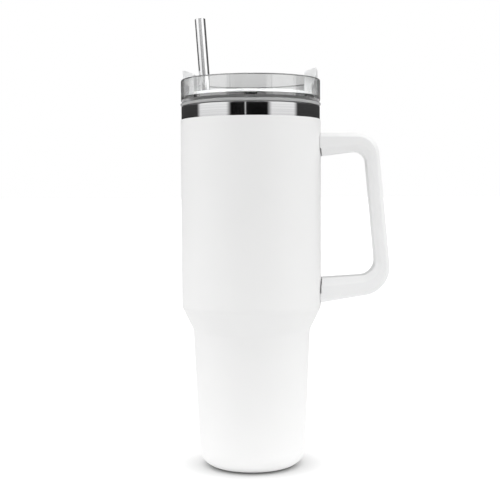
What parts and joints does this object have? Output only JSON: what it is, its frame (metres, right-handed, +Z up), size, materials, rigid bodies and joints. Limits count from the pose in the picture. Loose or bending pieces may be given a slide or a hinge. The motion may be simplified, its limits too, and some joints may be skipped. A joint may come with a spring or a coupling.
{
  "type": "insulated tumbler",
  "caption": "Tall white vacuum-insulated steel tumbler with a narrow foot, a side handle, a clear press-in lid with a rotating cover, and a steel straw.",
  "frame": {"origin": "centre of the flat base, on the axis of the round body", "axes": "+Z up along the body's axis, +X towards the handle; the straw leans towards -X"},
  "size_m": [0.1485, 0.1, 0.3203],
  "materials": {
    "white_coat": "smooth satin white coating",
    "polished_steel": "mirror-polished stainless steel, finely turned",
    "liner_steel": "satin stainless steel, turned",
    "foil": "bright rolled foil",
    "bare_steel": "bare formed steel",
    "seal_glass": "fused solder glass",
    "base_steel": "spun satin stainless steel",
    "handle_plastic": "moulded white plastic, fine satin",
    "screw_steel": "plain stainless steel",
    "clear_plastic": "clear moulded plastic",
    "frosted_plastic": "translucent frosted plastic",
    "silicone": "translucent silicone",
    "straw_steel": "polished drawn stainless tube"
  },
  "bodies": {
    "vessel": {"outer_shell": "white_coat", "mouth_ring": "polished_steel", "inner_liner": "liner_steel", "reflective_foil": "foil", "vacuum_base": "bare_steel", "vacuum_seal": "seal_glass", "getter": "bare_steel", "base_cap": "base_steel", "handle": "handle_plastic", "upper_bracket": "bare_steel", "upper_screw": "screw_steel", "upper_screw_plug": "handle_plastic", "lower_bracket": "bare_steel", "lower_screw": "screw_steel", "lower_screw_plug": "handle_plastic"},
    "lid": {"lid_body": "clear_plastic", "lid_gasket": "silicone", "straw_grommet": "silicone", "cover_pivot": "frosted_plastic"},
    "cover": {"rotating_cover": "frosted_plastic", "cover_seal": "silicone"},
    "straw": {"straw": "straw_steel"}
  },
  "joints": [
    {"name": "lid_lift", "type": "slide", "parent": "vessel", "child": "lid", "axis": [0, 0, 1], "range_m": [0, 0.3]},
    {"name": "cover_turn", "type": "hinge", "parent": "lid", "child": "cover", "pos_m": [0, 0, 0.2652], "axis": [0, 0, 1], "range_deg": [0, 60]},
    {"name": "straw_slide", "type": "slide", "parent": "lid", "child": "straw", "axis": [-0.0704, 0, 0.9975], "range_m": [0, 0.28]}
  ]
}
